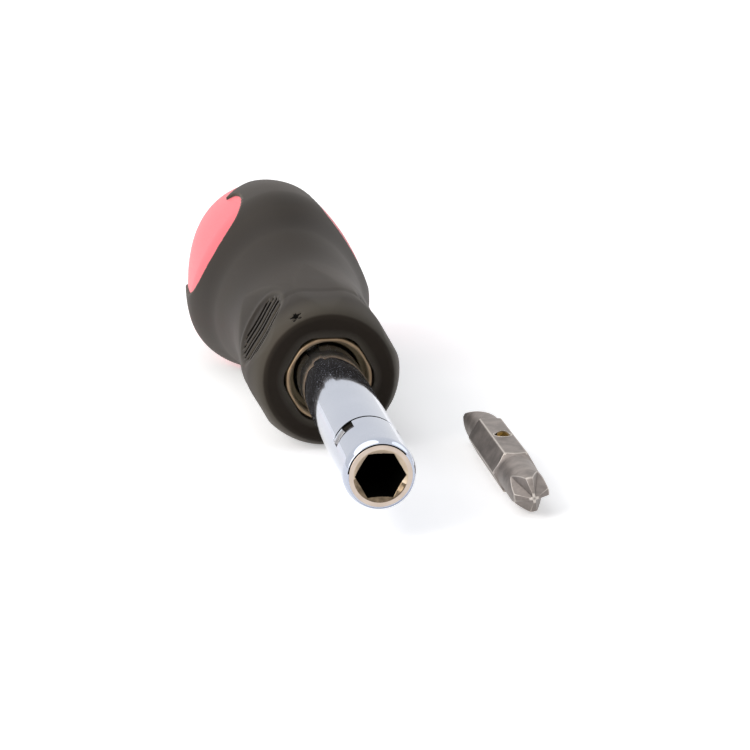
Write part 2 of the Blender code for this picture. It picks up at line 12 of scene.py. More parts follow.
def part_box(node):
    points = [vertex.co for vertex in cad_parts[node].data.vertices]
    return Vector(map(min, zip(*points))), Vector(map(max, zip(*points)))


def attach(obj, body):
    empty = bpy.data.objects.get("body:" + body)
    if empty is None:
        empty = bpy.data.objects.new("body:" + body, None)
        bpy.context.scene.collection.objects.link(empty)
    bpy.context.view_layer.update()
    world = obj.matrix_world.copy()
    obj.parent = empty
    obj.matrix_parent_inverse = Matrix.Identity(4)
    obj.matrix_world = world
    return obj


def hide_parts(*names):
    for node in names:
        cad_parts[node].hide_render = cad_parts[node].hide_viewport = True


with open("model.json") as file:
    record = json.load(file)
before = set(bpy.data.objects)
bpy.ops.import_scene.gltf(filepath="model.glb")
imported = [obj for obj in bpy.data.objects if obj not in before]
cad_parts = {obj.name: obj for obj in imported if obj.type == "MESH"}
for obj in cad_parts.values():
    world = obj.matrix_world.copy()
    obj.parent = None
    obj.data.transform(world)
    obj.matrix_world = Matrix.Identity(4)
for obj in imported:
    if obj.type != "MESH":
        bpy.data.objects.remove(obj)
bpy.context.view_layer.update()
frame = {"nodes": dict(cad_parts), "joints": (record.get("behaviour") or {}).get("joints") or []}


# Table and camera. A seamless white sweep, seen by a long lens from above the barrel's
# tip, a little to its left. The white is in the surface's own colour for the camera and
# for reflections, and the lamps only light the object.

MM = 0.001
photo_lens = 96.0
photo_sensor = 36.0
camera_place = (-0.052587, -0.352715, 0.084943)
camera_turn = (77.557, -0.33, -9.534)
table_half = 3.0
white = "#ffffff"
table_grey = "#f4f4f4"
table_lift = 0.44
fill_tint = "#eef0f6"
fill_strength = 0.34


def colour(code):
    """Linear colour of an sRGB hex code."""
    parts = [int(code[start:start + 2], 16) / 255 for start in (1, 3, 5)]
    linear = [part / 12.92 if part <= 0.04045 else ((part + 0.055) / 1.055) ** 2.4 for part in parts]
    return (*linear, 1.0)


def node(tree, kind, links=None, **settings):
    """Add a node, set its attributes and link or set its inputs by name or number."""
    made = tree.nodes.new(kind)
    for name, value in settings.items():
        setattr(made, name, value)
    for name, value in (links or {}).items():
        socket = made.inputs[name]
        if isinstance(value, bpy.types.NodeSocket):
            tree.links.new(value, socket)
        else:
            socket.default_value = value
    return made


def blank_material(name):
    made = bpy.data.materials.new(name)
    made.use_nodes = True
    made.node_tree.nodes.clear()
    return made, made.node_tree


def white_for_rays(tree, seen, lit):
    """Mix a plain white for camera, mirror and glass rays with what lights the object."""
    path = node(tree, "ShaderNodeLightPath")
    either = node(tree, "ShaderNodeMath", {
        0: path.outputs["Is Camera Ray"], 1: path.outputs["Is Glossy Ray"]}, operation="MAXIMUM")
    clear = node(tree, "ShaderNodeMath", {
        0: either.outputs[0], 1: path.outputs["Is Transmission Ray"]}, operation="MAXIMUM")
    return node(tree, "ShaderNodeMixShader", {0: clear.outputs[0], 1: lit, 2: seen})


table = bpy.data.objects.new("table", bpy.data.meshes.new("table"))
table.data.from_pydata(
    [(-table_half, -table_half, 0), (table_half, -table_half, 0), (table_half, table_half, 0),
     (-table_half, table_half, 0)], [], [(0, 1, 2, 3)])
bpy.context.scene.collection.objects.link(table)
paper, tree = blank_material("white_paper")
where = node(tree, "ShaderNodeTexCoord")
fibre = node(tree, "ShaderNodeTexNoise", {"Vector": where.outputs["Object"], "Scale": 40.0})
tone = node(tree, "ShaderNodeMix", {0: fibre.outputs[0], 6: colour(table_grey), 7: colour(white)},
            data_type="RGBA")
matte = node(tree, "ShaderNodeBsdfDiffuse", {"Color": tone.outputs[2]})
glow = node(tree, "ShaderNodeEmission", {"Color": colour(white), "Strength": table_lift})
lifted = node(tree, "ShaderNodeAddShader", {0: matte.outputs[0], 1: glow.outputs[0]})
surface = white_for_rays(tree, lifted.outputs[0], matte.outputs[0])
node(tree, "ShaderNodeOutputMaterial", {0: surface.outputs[0]})
table.data.materials.append(paper)

world = bpy.data.worlds.new("studio")
world.use_nodes = True
tree = world.node_tree
tree.nodes.clear()
seen = node(tree, "ShaderNodeBackground", {"Color": colour(white), "Strength": 1.0})
fill = node(tree, "ShaderNodeBackground", {"Color": colour(fill_tint), "Strength": fill_strength})
sky = white_for_rays(tree, seen.outputs[0], fill.outputs[0])
node(tree, "ShaderNodeOutputWorld", {0: sky.outputs[0]})
bpy.context.scene.world = world


def lamp(name, place, width, power, tint):
    """Far softbox seen from the table at a place, this many degrees wide."""
    made = bpy.data.objects.new(name, bpy.data.lights.new(name, "SUN"))
    made.data.angle = math.radians(width)
    made.data.energy = power
    made.data.color = colour(tint)[:3]
    made.location = place
    made.rotation_euler = (-Vector(place)).to_track_quat("-Z", "Y").to_euler()
    bpy.context.scene.collection.objects.link(made)


lamp("key_softbox", (-0.5, 0.35, 1.0), 60.0, 0.9, "#ffffff")
lamp("side_softbox", (-1.0, -0.3, 0.5), 50.0, 1.85, "#fffaf4")
lamp("rim_softbox", (0.9, 0.5, 0.6), 40.0, 0.3, "#f6f8ff")

lens = bpy.data.cameras.new("photo_camera")
lens.lens = photo_lens
lens.sensor_width = photo_sensor
camera = bpy.data.objects.new("photo_camera", lens)
camera.location = camera_place
camera.rotation_euler = [math.radians(angle) for angle in camera_turn]
bpy.context.scene.collection.objects.link(camera)
bpy.context.scene.camera = camera
bpy.context.scene.view_settings.view_transform = "Standard"


# Handle skin. The grip and the core share one outline: a blunt six-sided nose with flats
# for the thumb, a waist, and a three-lobed bulge that fills the palm. Both are moulded,
# the red core first and the black rubber over it.

handle_length = 112.0 * MM
front_face_radius = 10.4 * MM
front_round = 10.5 * MM
bolster_radius = 13.4 * MM
bolster_at = 13.0 * MM
waist_radius = 12.65 * MM
waist_at = 34.0 * MM
middle_drop = 0.9 * MM
bulge_radius = 17.95 * MM
bulge_at = 71.0 * MM
butt_flat_radius = 10.8 * MM
facet_depth = 0.5 * MM
pad_facet_depth = 1.8 * MM
facet_hollow = 0.1 * MM
lobe_height = 1.15 * MM
facet_azimuths = (30.0, 90.0, 150.0, 210.0, 270.0, 330.0)
pad_azimuths = (30.0, 150.0)
skin_margin = 0.08 * MM


def smooth_step(value, start, end):
    share = np.clip((value - start) / (end - start), 0, 1)
    return share * share * (3 - 2 * share)


def soft_min(first, second, reach):
    """Smaller of two values, blended where they differ by less than the reach."""
    near = np.clip(1 - np.abs(first - second) / np.maximum(reach, 1e-9), 0, 1)
    return np.minimum(first, second) - near ** 2 * reach / 4


def smooth_curve(keys, place):
    """Smooth curve through the keys that never swings past one of them."""
    slopes = [(b[1] - a[1]) / (b[0] - a[0]) for a, b in zip(keys, keys[1:])]
    tangents = [slopes[0]]
    for before, after in zip(slopes, slopes[1:]):
        tangents.append(0.0 if before * after <= 0 else 2 * before * after / (before + after))
    tangents.append(0.0)
    curve = np.full(np.shape(place), keys[0][1])
    for index, ((x0, y0), (x1, y1)) in enumerate(zip(keys, keys[1:])):
        width = x1 - x0
        t = np.clip((place - x0) / width, 0, 1)
        stretch = (y0 * (1 + 2 * t) * (1 - t) ** 2 + y1 * t * t * (3 - 2 * t)
                   + width * t * (1 - t) * (tangents[index] * (1 - t) - tangents[index + 1] * t))
        curve = np.where(place >= x0, stretch, curve)
    return curve


def outline_radius(place):
    """Mean radius of the handle at a distance behind its front face."""
    shoulder = bolster_radius - facet_depth / 4
    middle = (waist_radius + bulge_radius) / 2 - middle_drop
    keys = ((front_round, shoulder), (bolster_at, bolster_radius), (waist_at, waist_radius),
            ((waist_at + bulge_at) / 2, middle), (bulge_at, bulge_radius))
    nose = front_face_radius + (shoulder - front_face_radius) * np.sqrt(
        1 - (1 - np.clip(place / front_round, 0, 1)) ** 2)
    share = np.clip((place - bulge_at) / (handle_length - bulge_at), 0, 1)
    butt = butt_flat_radius + (bulge_radius - butt_flat_radius) * np.sqrt(1 - share ** 2)
    return np.select([place < front_round, place < bulge_at], [nose, smooth_curve(keys, place)], butt)


def skin_radius(place, azimuth):
    """Radius of the handle's skin at places and azimuths."""
    outline = outline_radius(place)
    nose = smooth_step(place, 0, front_round) * (1 - smooth_step(place, bolster_at, waist_at))
    bulge = smooth_step(place, waist_at, bulge_at) * (1 - smooth_step(place, bulge_at, handle_length))
    radius = outline + lobe_height * bulge * np.cos(np.radians(3 * (azimuth - 90)))
    for centre in facet_azimuths:
        depth = (pad_facet_depth if centre in pad_azimuths else facet_depth) * nose
        lean = np.maximum(np.cos(np.radians(azimuth - centre)), 0.2)
        radius = np.where(place < waist_at, soft_min(radius, (outline - depth) / lean, 0.5 * depth), radius)
    hollow = facet_hollow * nose * np.maximum(np.cos(np.radians(6 * (azimuth - 90))), 0)
    return radius - hollow - skin_margin


# Windows in the grip. Each is a rounded opening between two rubber fingers that end in a
# barb on one side and a plain curve on the other; the fingers and the red core behind
# them meet in a moulded step about half a millimetre high.

window_front_at = 64.0 * MM
tongue_end_at = 97.0 * MM
window_half_angle = 60.0
window_azimuths = (30.0, 150.0, 270.0)
# Both edges run from a finger's tip to the middle of the window's front end, as shares of
# the window's length and of its half angle. The plain one joins the barbed one part way.
window_edge = (
    (1.00, 0.00), (0.985, 0.10), (0.95, 0.20), (0.87, 0.31), (0.80, 0.41), (0.70, 0.55),
    (0.66, 0.50), (0.60, 0.43), (0.445, 0.39), (0.25, 0.42), (0.135, 0.475), (0.06, 0.565),
    (0.025, 0.68), (0.005, 0.84), (0.00, 1.00),
)
plain_edge = (
    (1.00, 0.00), (0.985, 0.08), (0.95, 0.15), (0.87, 0.23), (0.78, 0.29), (0.68, 0.335), (0.56, 0.37),
)
barb_point = 5
plain_from = 8
edge_steps = 6
window_far = 130.0 * MM


def rounded_line(points, steps):
    """Points along a smooth line through the given ones."""
    points = np.asarray(points, float)
    padded = np.vstack([2 * points[0] - points[1], points, 2 * points[-1] - points[-2]])
    line = []
    for index in range(1, len(padded) - 2):
        a, b, c, d = padded[index - 1:index + 3]
        for t in np.linspace(0, 1, steps, endpoint=False):
            line.append(0.5 * (2 * b + (c - a) * t + (2 * a - 5 * b + 4 * c - d) * t ** 2
                               + (3 * b - a - 3 * c + d) * t ** 3))
    return np.array(line + [points[-1]])


def window_line():
    """Closed outline of a window as (place, arc from its middle), barbed on one side."""
    reach = tongue_end_at - window_front_at
    arc = math.radians(window_half_angle) * bulge_radius
    barbed, plain = [
        [(window_front_at + reach * share, arc * (wide - 1)) for share, wide in edge]
        for edge in (window_edge, plain_edge + window_edge[plain_from:])]
    finger = rounded_line(barbed[:barb_point + 1], edge_steps)[:-1]
    half = np.vstack([finger, rounded_line(barbed[barb_point:], edge_steps)])
    other = rounded_line(plain, edge_steps)[::-1][1:] * (1, -1)
    return np.vstack([half, other, [(window_far, arc), (window_far, -arc)]])


def signed_distance(points, outline):
    """Distance to a closed outline, positive inside it."""
    nearest = np.full(len(points), np.inf)
    inside = np.zeros(len(points), bool)
    x, y = points[:, 0], points[:, 1]
    for (x0, y0), (x1, y1) in zip(outline, np.roll(outline, -1, 0)):
        dx, dy = x1 - x0, y1 - y0
        t = np.clip(((x - x0) * dx + (y - y0) * dy) / max(dx * dx + dy * dy, 1e-18), 0, 1)
        nearest = np.minimum(nearest, np.hypot(x - x0 - t * dx, y - y0 - t * dy))
        crosses = (y0 > y) != (y1 > y)
        with np.errstate(divide="ignore", invalid="ignore"):
            left = x < (x1 - x0) * (y - y0) / (y1 - y0) + x0
        inside ^= crosses & left
    return np.where(inside, nearest, -nearest)


def window_depth(place, azimuth):
    """How far each point lies inside the nearest window, negative under the rubber."""
    outline = window_line()
    deepest = np.full(place.shape, -1.0)
    for centre in window_azimuths:
        turn = (azimuth - centre + 180) % 360 - 180
        points = np.stack([place.ravel(), np.radians(turn).ravel() * bulge_radius], -1)
        near = np.abs(turn.ravel()) <= window_half_angle + 1e-6
        depth = np.full(len(points), -1.0)
        depth[near] = signed_distance(points[near], outline)
        deepest = np.maximum(deepest, depth.reshape(place.shape))
    behind = place - tongue_end_at
    return np.where(behind > 0, np.maximum(behind, deepest), deepest)


# Core. One red moulding of tough satin plastic that runs from the nose to the butt. It
# shows in the three windows and as the whole rounded butt.

core_front = 58.0 * MM
core_rows = 200
butt_from = 103.0 * MM
butt_rows = 60
window_recess = 0.5 * MM
tuck_start, tuck_end = 0.9 * MM, 0.3 * MM
tuck_depth = 0.6 * MM
barrel_length = 112.0 * MM
handle_at = 51.2 * MM
handle_sides = 288

axis_pull = next(joint for joint in frame["joints"] if joint["name"] == "barrel_pull")["axis"]
rearward = -Vector(axis_pull).normalized()
upward = Vector((1, 0, 0)).cross(rearward)
box_low, box_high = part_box("barrel")
rim_centre = (Vector(box_low) + Vector(box_high)) / 2 - rearward * barrel_length / 2
driver_basis = Matrix(((1, rearward.x, upward.x), (0, rearward.y, upward.y), (0, rearward.z, upward.z)))
driver_place = (driver_basis, rim_centre)
handle_turns = np.linspace(0, 360, handle_sides, endpoint=False)


def wrap(name, along, radii, azimuths, place=driver_place, looped=False):
    """Mesh of rings: row i lies at along[i], at radius radii[i][j] for azimuth j."""
    along = np.asarray(along, float)
    radii = np.broadcast_to(np.asarray(radii, float), (len(along), len(azimuths)))
    turn = np.radians(azimuths)
    local = np.stack([
        radii * np.cos(turn), np.repeat(along[:, None], len(azimuths), 1), radii * np.sin(turn)], -1)
    rows, count = radii.shape
    grid = np.arange(rows * count).reshape(rows, count)
    pairs = [(grid[row], grid[row + 1]) for row in range(rows - 1)]
    if looped:
        pairs.append((grid[-1], grid[0]))
    faces = []
    for near, far in pairs:
        faces += np.stack([near, np.roll(near, -1), np.roll(far, -1), far], -1).tolist()
    if not looped:
        faces += [grid[0].tolist(), grid[-1].tolist()]
    mesh = bpy.data.meshes.new(name)
    mesh.from_pydata(local.reshape(-1, 3).tolist(), [], faces)
    work = bmesh.new()
    work.from_mesh(mesh)
    bmesh.ops.remove_doubles(work, verts=work.verts, dist=1e-7)
    bmesh.ops.recalc_face_normals(work, faces=work.faces)
    work.to_mesh(mesh)
    work.free()
    basis, origin = place
    mesh.transform(Matrix.Translation(origin) @ basis.to_4x4())
    mesh.shade_smooth()
    made = bpy.data.objects.new(name, mesh)
    bpy.context.scene.collection.objects.link(made)
    return made


def core_skin():
    butt = butt_from + (handle_length - butt_from) * np.sin(np.linspace(0, math.pi / 2, butt_rows))
    places = np.concatenate([np.linspace(core_front, butt_from, core_rows), butt[1:]])
    place, azimuth = np.meshgrid(places, handle_turns, indexing="ij")
    under = 1 - smooth_step(window_depth(place, azimuth), -tuck_start, -tuck_end)
    radius = skin_radius(place, azimuth) - window_recess - under * tuck_depth
    rings = [radius[0] * 0.2, *radius, radius[-1] * 0.97, radius[-1] * 0.5, radius[-1] * 0.02]
    along = [places[0], *places, places[-1], places[-1], places[-1]]
    return wrap("red_core", handle_at + np.array(along), np.array(rings), handle_turns)


# Moulded cellulose plastic with an eroded mould finish: a warm red whose fine grain, drawn
# at 0.4 mm so that it shows, spreads every reflection into a pale pink bloom.
red_plastic, tree = blank_material("red_satin_plastic")
where = node(tree, "ShaderNodeTexCoord")
cloud = node(tree, "ShaderNodeTexNoise", {"Vector": where.outputs["Object"], "Scale": 60.0, "Detail": 3.0})
tone = node(tree, "ShaderNodeMix", {"Factor": cloud.outputs[0], 6: colour("#f6606b"), 7: colour("#fb727c")},
            data_type="RGBA")
grain = node(tree, "ShaderNodeTexNoise", {
    "Vector": where.outputs["Object"], "Scale": 2500.0, "Detail": 2.0})
rough = node(tree, "ShaderNodeMapRange", {0: grain.outputs[0], 3: 0.34, 4: 0.46})
relief = node(tree, "ShaderNodeBump", {
    "Height": grain.outputs[0], "Strength": 0.06, "Distance": 0.05 * MM})
shader = node(tree, "ShaderNodeBsdfPrincipled", {
    "Base Color": tone.outputs[2], "Roughness": rough.outputs[0], "Normal": relief.outputs[0], "IOR": 1.48})
node(tree, "ShaderNodeOutputMaterial", {0: shader.outputs[0]})

core = core_skin()
core.data.materials.append(red_plastic)
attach(core, "handle")
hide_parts("handle_core")


# Grip. Matte black rubber moulded over the core. Its nose carries two oval thumb pads
# with seven grooves each, and a small star-shaped scar where the rubber entered the mould.

pad_at = 12.9 * MM
pad_half_length = 9.4 * MM
pad_half_angle = 31.0
pad_groove_count = 7
pad_groove_pitch = 2.0 * MM
pad_groove_walls = 0.18 * MM, 0.54 * MM
pad_groove_ends = 0.80, 0.90
pad_groove_depth = 0.9 * MM
pad_rim_height = 0.15 * MM
pad_rim_width = 0.08
pad_dish = 0.15 * MM
pad_dish_edge = 0.82, 1.0
groove_share = 0.22
nose_hole_flats = 14.25 * MM
nose_edge_round = 0.15 * MM
gate_at = 1.7 * MM
gate_azimuth = 117.5
gate_radius = 0.42 * MM
gate_depth = 0.9 * MM
gate_points, gate_star = 5, 0.5
scar_share = 0.12
hole_corner = 7.65 * MM
hole_corner_round = 0.3 * MM
hole_end = 4.0 * MM
nose_face_from = nose_hole_flats / 2 + 1 * MM
# Band of the nose's rounded edge that is painted lighter: a painted sheen.
sheen_starts = 0.15 * MM, 0.6 * MM
sheen_ends = 1.6 * MM, 7.0 * MM
grip_bore = 9.0 * MM
grip_end_step = 1 * MM
window_margin = 1 * MM
nose_rows, pad_rows, waist_rows, window_rows = 26, 96, 50, 140
lip_outside, lip_inside = 0.35 * MM, 0.12 * MM
lip_sink = 0.9 * MM
grip_edge = 0.05 * MM


def pad_relief(place, azimuth):
    """Grooves and raised rim of the thumb pads."""
    relief = np.zeros_like(place)
    for centre in pad_azimuths:
        turn = (azimuth - centre + 180) % 360 - 180
        oval = np.hypot(turn / pad_half_angle, (place - pad_at) / pad_half_length)
        rim = np.exp(-((oval - 1.0) / pad_rim_width) ** 2) * pad_rim_height
        phase = (place - pad_at) / pad_groove_pitch
        number = np.round(phase)
        inside = (np.abs(number) <= (pad_groove_count - 1) / 2) & (oval < 1.2)
        off = np.abs(phase - number) * pad_groove_pitch
        length = 1 - smooth_step(oval, *pad_groove_ends)
        groove = (1 - smooth_step(off, *pad_groove_walls)) * length * inside
        relief += rim - groove * pad_groove_depth - (1 - smooth_step(oval, *pad_dish_edge)) * pad_dish
    return relief


def gate_scar(place, azimuth):
    """Depth of the star-shaped scar on the nose."""
    forward = place - gate_at
    sideways = np.radians(azimuth - gate_azimuth) * front_face_radius
    star = 1 + gate_star * np.cos(gate_points * np.arctan2(sideways, forward))
    return gate_depth * np.exp(-(np.hypot(forward, sideways) / (gate_radius * star)) ** 2)


def read_points(items, attribute):
    """Vectors of mesh items as rows of an array."""
    values = np.empty(len(items) * 3)
    items.foreach_get(attribute, values)
    return values.reshape(-1, 3)


def mark_edges(piece, sharp, rubbed):
    """Store how far each point stands out of its neighbours, or the given rubbed share, as a point attribute
    that lightens the colour: wear, and on the grip's nose a painted sheen.
    """
    mesh = piece.data
    points, normals = read_points(mesh.vertices, "co"), read_points(mesh.vertices, "normal")
    ends = np.empty(len(mesh.edges) * 2, int)
    mesh.edges.foreach_get("vertices", ends)
    ends = ends.reshape(-1, 2)
    total, number = np.zeros_like(points), np.zeros(len(points))
    for near, far in ((ends[:, 0], ends[:, 1]), (ends[:, 1], ends[:, 0])):
        np.add.at(total, near, points[far])
        np.add.at(number, near, 1)
    proud = ((points - total / number[:, None]) * normals).sum(1)
    layer = mesh.attributes.new("edge_wear", "FLOAT", "POINT")
    layer.data.foreach_set("value", np.clip(np.maximum(proud / sharp, rubbed), 0, 1))


def around_axis(points):
    """Distance along the driver's axis, radius from it and azimuth round it, for rows of points."""
    basis, origin = driver_place
    local = (points - np.array(origin)) @ np.array(basis)
    azimuth = np.degrees(np.arctan2(local[:, 2], local[:, 0])) % 360
    return local[:, 1], np.hypot(local[:, 0], local[:, 2]), azimuth


def paint(piece, index, chosen):
    """Give a material slot to the faces that a rule chooses by along, radius and azimuth."""
    faces = piece.data.polygons
    slots = np.empty(len(faces), int)
    faces.foreach_get("material_index", slots)
    picked = chosen(*around_axis(read_points(faces, "center")))
    faces.foreach_set("material_index", np.where(picked, index, slots))


def plated(name, dark, light, low, high, pattern, metal=1.0, shine=0.5):
    """Surface that varies in tone and polish over patches of the pattern's scale."""
    made, tree = blank_material(name)
    where = node(tree, "ShaderNodeTexCoord")
    cloud = node(tree, "ShaderNodeTexNoise", {
        "Vector": where.outputs["Object"], "Scale": pattern, "Detail": 4.0})
    tone = node(tree, "ShaderNodeMix", {"Factor": cloud.outputs[0], 6: colour(dark), 7: colour(light)},
                data_type="RGBA")
    rough = node(tree, "ShaderNodeMapRange", {0: cloud.outputs[0], 3: low, 4: high})
    shader = node(tree, "ShaderNodeBsdfPrincipled", {
        "Base Color": tone.outputs[2], "Roughness": rough.outputs[0], "Metallic": metal,
        "Specular IOR Level": shine})
    node(tree, "ShaderNodeOutputMaterial", {0: shader.outputs[0]})
    return made


def grip_skin():
    pad_end = pad_at + pad_half_length
    places = np.concatenate([
        np.linspace(0, 1, nose_rows) ** 2 * hole_end, np.linspace(hole_end, pad_end, pad_rows)[1:],
        np.linspace(pad_end, window_front_at - window_margin, waist_rows)[1:],
        np.linspace(window_front_at - window_margin, tongue_end_at + window_margin, window_rows)[1:]])
    place, azimuth = np.meshgrid(places, handle_turns, indexing="ij")
    inside = smooth_step(window_depth(place, azimuth), -lip_outside, lip_inside)
    radius = skin_radius(place, azimuth) + pad_relief(place, azimuth) - gate_scar(place, azimuth)
    radius = radius - inside * (window_recess + lip_sink)
    flats = nose_hole_flats / 2 / np.cos(np.radians(handle_turns % 60 - 30))
    hole = soft_min(flats, hole_corner, hole_corner_round)
    front = radius[0]
    face = front - hole
    rings = [hole, hole, hole + face * 0.03, hole + face * 0.5, front - nose_edge_round, *radius]
    along = [hole_end, nose_edge_round, 0.0, 0.0, 0.0, *places]
    hollow = np.full(len(front), grip_bore)
    rings += [radius[-1] - grip_end_step, hollow, hollow]
    along += [places[-1], places[-1], hole_end]
    return wrap("rubber_grip", handle_at + np.array(along), np.array(rings), handle_turns, looped=True)


# Soft thermoplastic rubber with a fine mould texture: nearly black and a little brown, with
# a weak broad shine that turns grey where it is seen along the surface. Hands have rubbed
# its ridges lighter, and the nose's rounded edge is painted lighter as a painted sheen.
# Its 0.1 mm grain is drawn at 0.3 mm so that it shows.
rubber, tree = blank_material("black_soft_rubber")
where = node(tree, "ShaderNodeTexCoord")
cloud = node(tree, "ShaderNodeTexNoise", {"Vector": where.outputs["Object"], "Scale": 70.0, "Detail": 5.0})
tone = node(tree, "ShaderNodeMix", {"Factor": cloud.outputs[0], 6: colour("#12100d"), 7: colour("#2d2823")},
            data_type="RGBA")
wear = node(tree, "ShaderNodeAttribute", attribute_name="edge_wear")
worn_and_sheen = node(tree, "ShaderNodeMix", {
    "Factor": wear.outputs["Fac"], 6: tone.outputs[2], 7: colour("#48443d")}, data_type="RGBA")
grain = node(tree, "ShaderNodeTexNoise", {
    "Vector": where.outputs["Object"], "Scale": 3300.0, "Detail": 2.0})
rough = node(tree, "ShaderNodeMapRange", {0: cloud.outputs[0], 3: 0.44, 4: 0.58})
relief = node(tree, "ShaderNodeBump", {"Height": grain.outputs[0], "Strength": 0.15, "Distance": 0.04 * MM})
shader = node(tree, "ShaderNodeBsdfPrincipled", {
    "Base Color": worn_and_sheen.outputs[2], "Roughness": rough.outputs[0], "Normal": relief.outputs[0],
    "Specular IOR Level": 0.13, "Specular Tint": colour("#ffe6d4"), "Sheen Weight": 0.05,
    "Sheen Roughness": 0.35, "Sheen Tint": colour("#f0d8c6")})
node(tree, "ShaderNodeOutputMaterial", {0: shader.outputs[0]})

# The scar is rubber ripped from the gate and the grooves are unpolished, so both are dull; both are painted
# near black as painted shade in their hollows.
recess_shade_rubber = plated("unpolished_rubber", "#060504", "#161412", 0.8, 0.95, 900.0, metal=0.0, shine=0.05)
grip = grip_skin()
grip.data.materials.append(rubber)
grip.data.materials.append(recess_shade_rubber)
paint(grip, 1, lambda along, radius, azimuth: (
    (gate_scar(along - handle_at, azimuth) > gate_depth * scar_share) & (radius > nose_face_from)))
paint(grip, 1, lambda along, radius, azimuth: (
    (pad_relief(along - handle_at, azimuth) < -pad_groove_depth * groove_share)
    & (radius > bolster_radius * 0.75)))
# The ridges stand out lighter from wear; the nose's rounded edge is painted lighter as a painted sheen.
along, radius, azimuth = around_axis(read_points(grip.data.vertices, "co"))
sheen_start, sheen_end = smooth_step(along - handle_at, *sheen_starts), smooth_step(along - handle_at, *sheen_ends)
mark_edges(grip, grip_edge, sheen_start * (1 - sheen_end) * (radius > nose_face_from))
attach(grip, "handle")
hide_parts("grip")


# Nose sleeve. A hexagonal steel socket pressed into the core, its lip turned to a rounded
# hexagon and yellow zinc plated. Two notches in its bore take the barrel's ears.

sleeve_front = 51.0 * MM
sleeve_length = 25.0 * MM
sleeve_radius = 7.05 * MM
lip_corner = 7.25 * MM
lip_corner_round = 0.2 * MM
sleeve_mouth_radius = 6.5 * MM
lip_rubbed_radius = 6.62 * MM
sleeve_bore_radius = 5.65 * MM
sleeve_lip_length = 3.0 * MM
lip_taper_length = 0.6 * MM
sleeve_mouth_depth = 3.2 * MM
bore_edge = 0.15 * MM
ear_azimuths = (120.0, 300.0)
ear_notch_half = 13.0
ear_notch_depth = 8.0 * MM
lip_height = 0.4 * MM
lip_steps = 12
paint_margin = 0.05 * MM
sleeve_turns = np.linspace(0, 360, 360, endpoint=False)


def sleeve_mesh():
    turn = np.radians(sleeve_turns % 60 - 30)
    flats = sleeve_radius / np.cos(turn)
    lip_outer = soft_min(flats, lip_corner, lip_corner_round)
    half = (lip_outer - sleeve_mouth_radius) / 2
    rings, along = [], []
    for angle in np.linspace(-90, 90, lip_steps):
        rings.append(sleeve_mouth_radius + half * (1 + math.sin(math.radians(angle))))
        along.append(lip_height * (1 - math.cos(math.radians(angle))))
    rings += [lip_outer, flats, flats]
    along += [sleeve_lip_length, sleeve_lip_length + lip_taper_length, sleeve_length]
    ear = np.zeros(len(turn), bool)
    for centre in ear_azimuths:
        ear |= np.abs((sleeve_turns - centre + 180) % 360 - 180) <= ear_notch_half
    bore = np.full(len(turn), sleeve_bore_radius)
    notched = np.where(ear, sleeve_mouth_radius, sleeve_bore_radius)
    soft = np.where(ear, sleeve_mouth_radius, sleeve_bore_radius + bore_edge)
    mouth = np.full(len(turn), sleeve_mouth_radius)
    rings += [bore, bore, notched, notched, soft, mouth]
    along += [sleeve_length, ear_notch_depth, ear_notch_depth, sleeve_mouth_depth + bore_edge,
              sleeve_mouth_depth, sleeve_mouth_depth]
    return wrap("zinc_sleeve", sleeve_front + np.array(along), np.array(rings), sleeve_turns, looped=True)


# Yellow chromate over zinc: a tan lip rubbed pale by use, and a bore painted a darker, dull
# brown as painted shade inside the mouth. Its tone clouds over patches a few millimetres wide.
zinc_bore_shade = plated("zinc_bore_brown", "#62553c", "#9a8867", 0.45, 0.62, 300.0, metal=0.25)
zinc_lip = plated("zinc_lip_tan", "#6b5842", "#a08a70", 0.30, 0.46, 600.0, metal=0.8)

sleeve = sleeve_mesh()
sleeve.data.materials.append(zinc_bore_shade)
sleeve.data.materials.append(zinc_lip)
paint(sleeve, 1, lambda along, radius, azimuth: (
    (along < sleeve_front + lip_height + paint_margin) & (radius > lip_rubbed_radius)))
sleeve.data.set_sharp_from_angle(angle=math.radians(40))
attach(sleeve, "handle")
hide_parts("nose_sleeve")


# Split rings. A round spring wire in the sleeve's groove grips the barrel, and a flat
# band in each end of the barrel clips the bit. All are bent from one length, left open.

snap_ring_at = 62.0 * MM
snap_ring_radius = 5.9 * MM
snap_ring_wire = 0.8 * MM
snap_ring_open = 40.0
bit_ring_at = 9.9 * MM
bit_ring_radius = 4.2 * MM
bit_ring_width = 1.0 * MM
bit_ring_thickness = 0.66 * MM
bit_ring_open = 50.0
bit_ring_corner = 0.08 * MM


